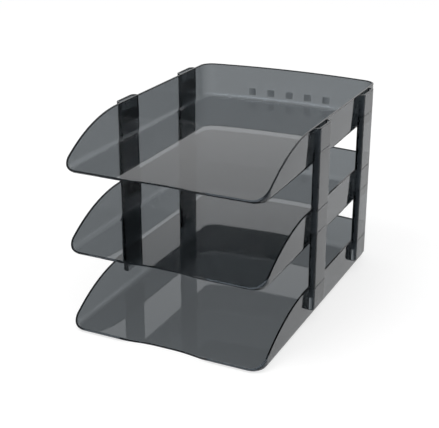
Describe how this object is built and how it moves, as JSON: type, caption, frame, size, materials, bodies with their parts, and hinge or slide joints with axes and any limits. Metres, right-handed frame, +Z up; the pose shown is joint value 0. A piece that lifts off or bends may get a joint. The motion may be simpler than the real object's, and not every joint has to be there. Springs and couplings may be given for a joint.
{
  "type": "letter tray stack",
  "caption": "Stack of open-fronted letter trays in smoked translucent plastic, carried above one another on plug-in risers.",
  "frame": {"origin": "middle of the footprint at desk level, under the bottom tray", "axes": "+X to the user's right, -Y out of the open front, +Z up"},
  "size_m": [0.2676, 0.379, 0.248],
  "materials": {
    "smoked_tray": "clear smoked grey, polished",
    "smoked_riser": "clear smoked grey, polished"
  },
  "bodies": {
    "bottom_tray": {"bottom_tray": "smoked_tray"},
    "middle_tray": {"middle_tray": "smoked_tray"},
    "top_tray": {"top_tray": "smoked_tray"},
    "lower_front_left_riser": {"lower_front_left_riser": "smoked_riser"},
    "lower_front_right_riser": {"lower_front_right_riser": "smoked_riser"},
    "lower_rear_left_riser": {"lower_rear_left_riser": "smoked_riser"},
    "lower_rear_right_riser": {"lower_rear_right_riser": "smoked_riser"},
    "upper_front_left_riser": {"upper_front_left_riser": "smoked_riser"},
    "upper_front_right_riser": {"upper_front_right_riser": "smoked_riser"},
    "upper_rear_left_riser": {"upper_rear_left_riser": "smoked_riser"},
    "upper_rear_right_riser": {"upper_rear_right_riser": "smoked_riser"}
  },
  "joints": [
    {"name": "middle_tray_lift", "type": "slide", "parent": "bottom_tray", "child": "middle_tray", "axis": [0, 0, 1], "range_m": [0, 0.06]},
    {"name": "top_tray_lift", "type": "slide", "parent": "middle_tray", "child": "top_tray", "axis": [0, 0, 1], "range_m": [0, 0.06]},
    {"name": "lower_front_left_riser_lift", "type": "slide", "parent": "bottom_tray", "child": "lower_front_left_riser", "axis": [0, 0, 1], "range_m": [0, 0.03]},
    {"name": "lower_front_right_riser_lift", "type": "slide", "parent": "bottom_tray", "child": "lower_front_right_riser", "axis": [0, 0, 1], "range_m": [0, 0.03]},
    {"name": "lower_rear_left_riser_lift", "type": "slide", "parent": "bottom_tray", "child": "lower_rear_left_riser", "axis": [0, 0, 1], "range_m": [0, 0.03]},
    {"name": "lower_rear_right_riser_lift", "type": "slide", "parent": "bottom_tray", "child": "lower_rear_right_riser", "axis": [0, 0, 1], "range_m": [0, 0.03]},
    {"name": "upper_front_left_riser_lift", "type": "slide", "parent": "middle_tray", "child": "upper_front_left_riser", "axis": [0, 0, 1], "range_m": [0, 0.03]},
    {"name": "upper_front_right_riser_lift", "type": "slide", "parent": "middle_tray", "child": "upper_front_right_riser", "axis": [0, 0, 1], "range_m": [0, 0.03]},
    {"name": "upper_rear_left_riser_lift", "type": "slide", "parent": "middle_tray", "child": "upper_rear_left_riser", "axis": [0, 0, 1], "range_m": [0, 0.03]},
    {"name": "upper_rear_right_riser_lift", "type": "slide", "parent": "middle_tray", "child": "upper_rear_right_riser", "axis": [0, 0, 1], "range_m": [0, 0.03]}
  ],
  "couplings": [
    {"joint": "lower_front_left_riser_lift", "follows": "middle_tray_lift", "ratio": 0.5},
    {"joint": "lower_front_right_riser_lift", "follows": "middle_tray_lift", "ratio": 0.5},
    {"joint": "lower_rear_left_riser_lift", "follows": "middle_tray_lift", "ratio": 0.5},
    {"joint": "lower_rear_right_riser_lift", "follows": "middle_tray_lift", "ratio": 0.5},
    {"joint": "upper_front_left_riser_lift", "follows": "top_tray_lift", "ratio": 0.5},
    {"joint": "upper_front_right_riser_lift", "follows": "top_tray_lift", "ratio": 0.5},
    {"joint": "upper_rear_left_riser_lift", "follows": "top_tray_lift", "ratio": 0.5},
    {"joint": "upper_rear_right_riser_lift", "follows": "top_tray_lift", "ratio": 0.5}
  ]
}
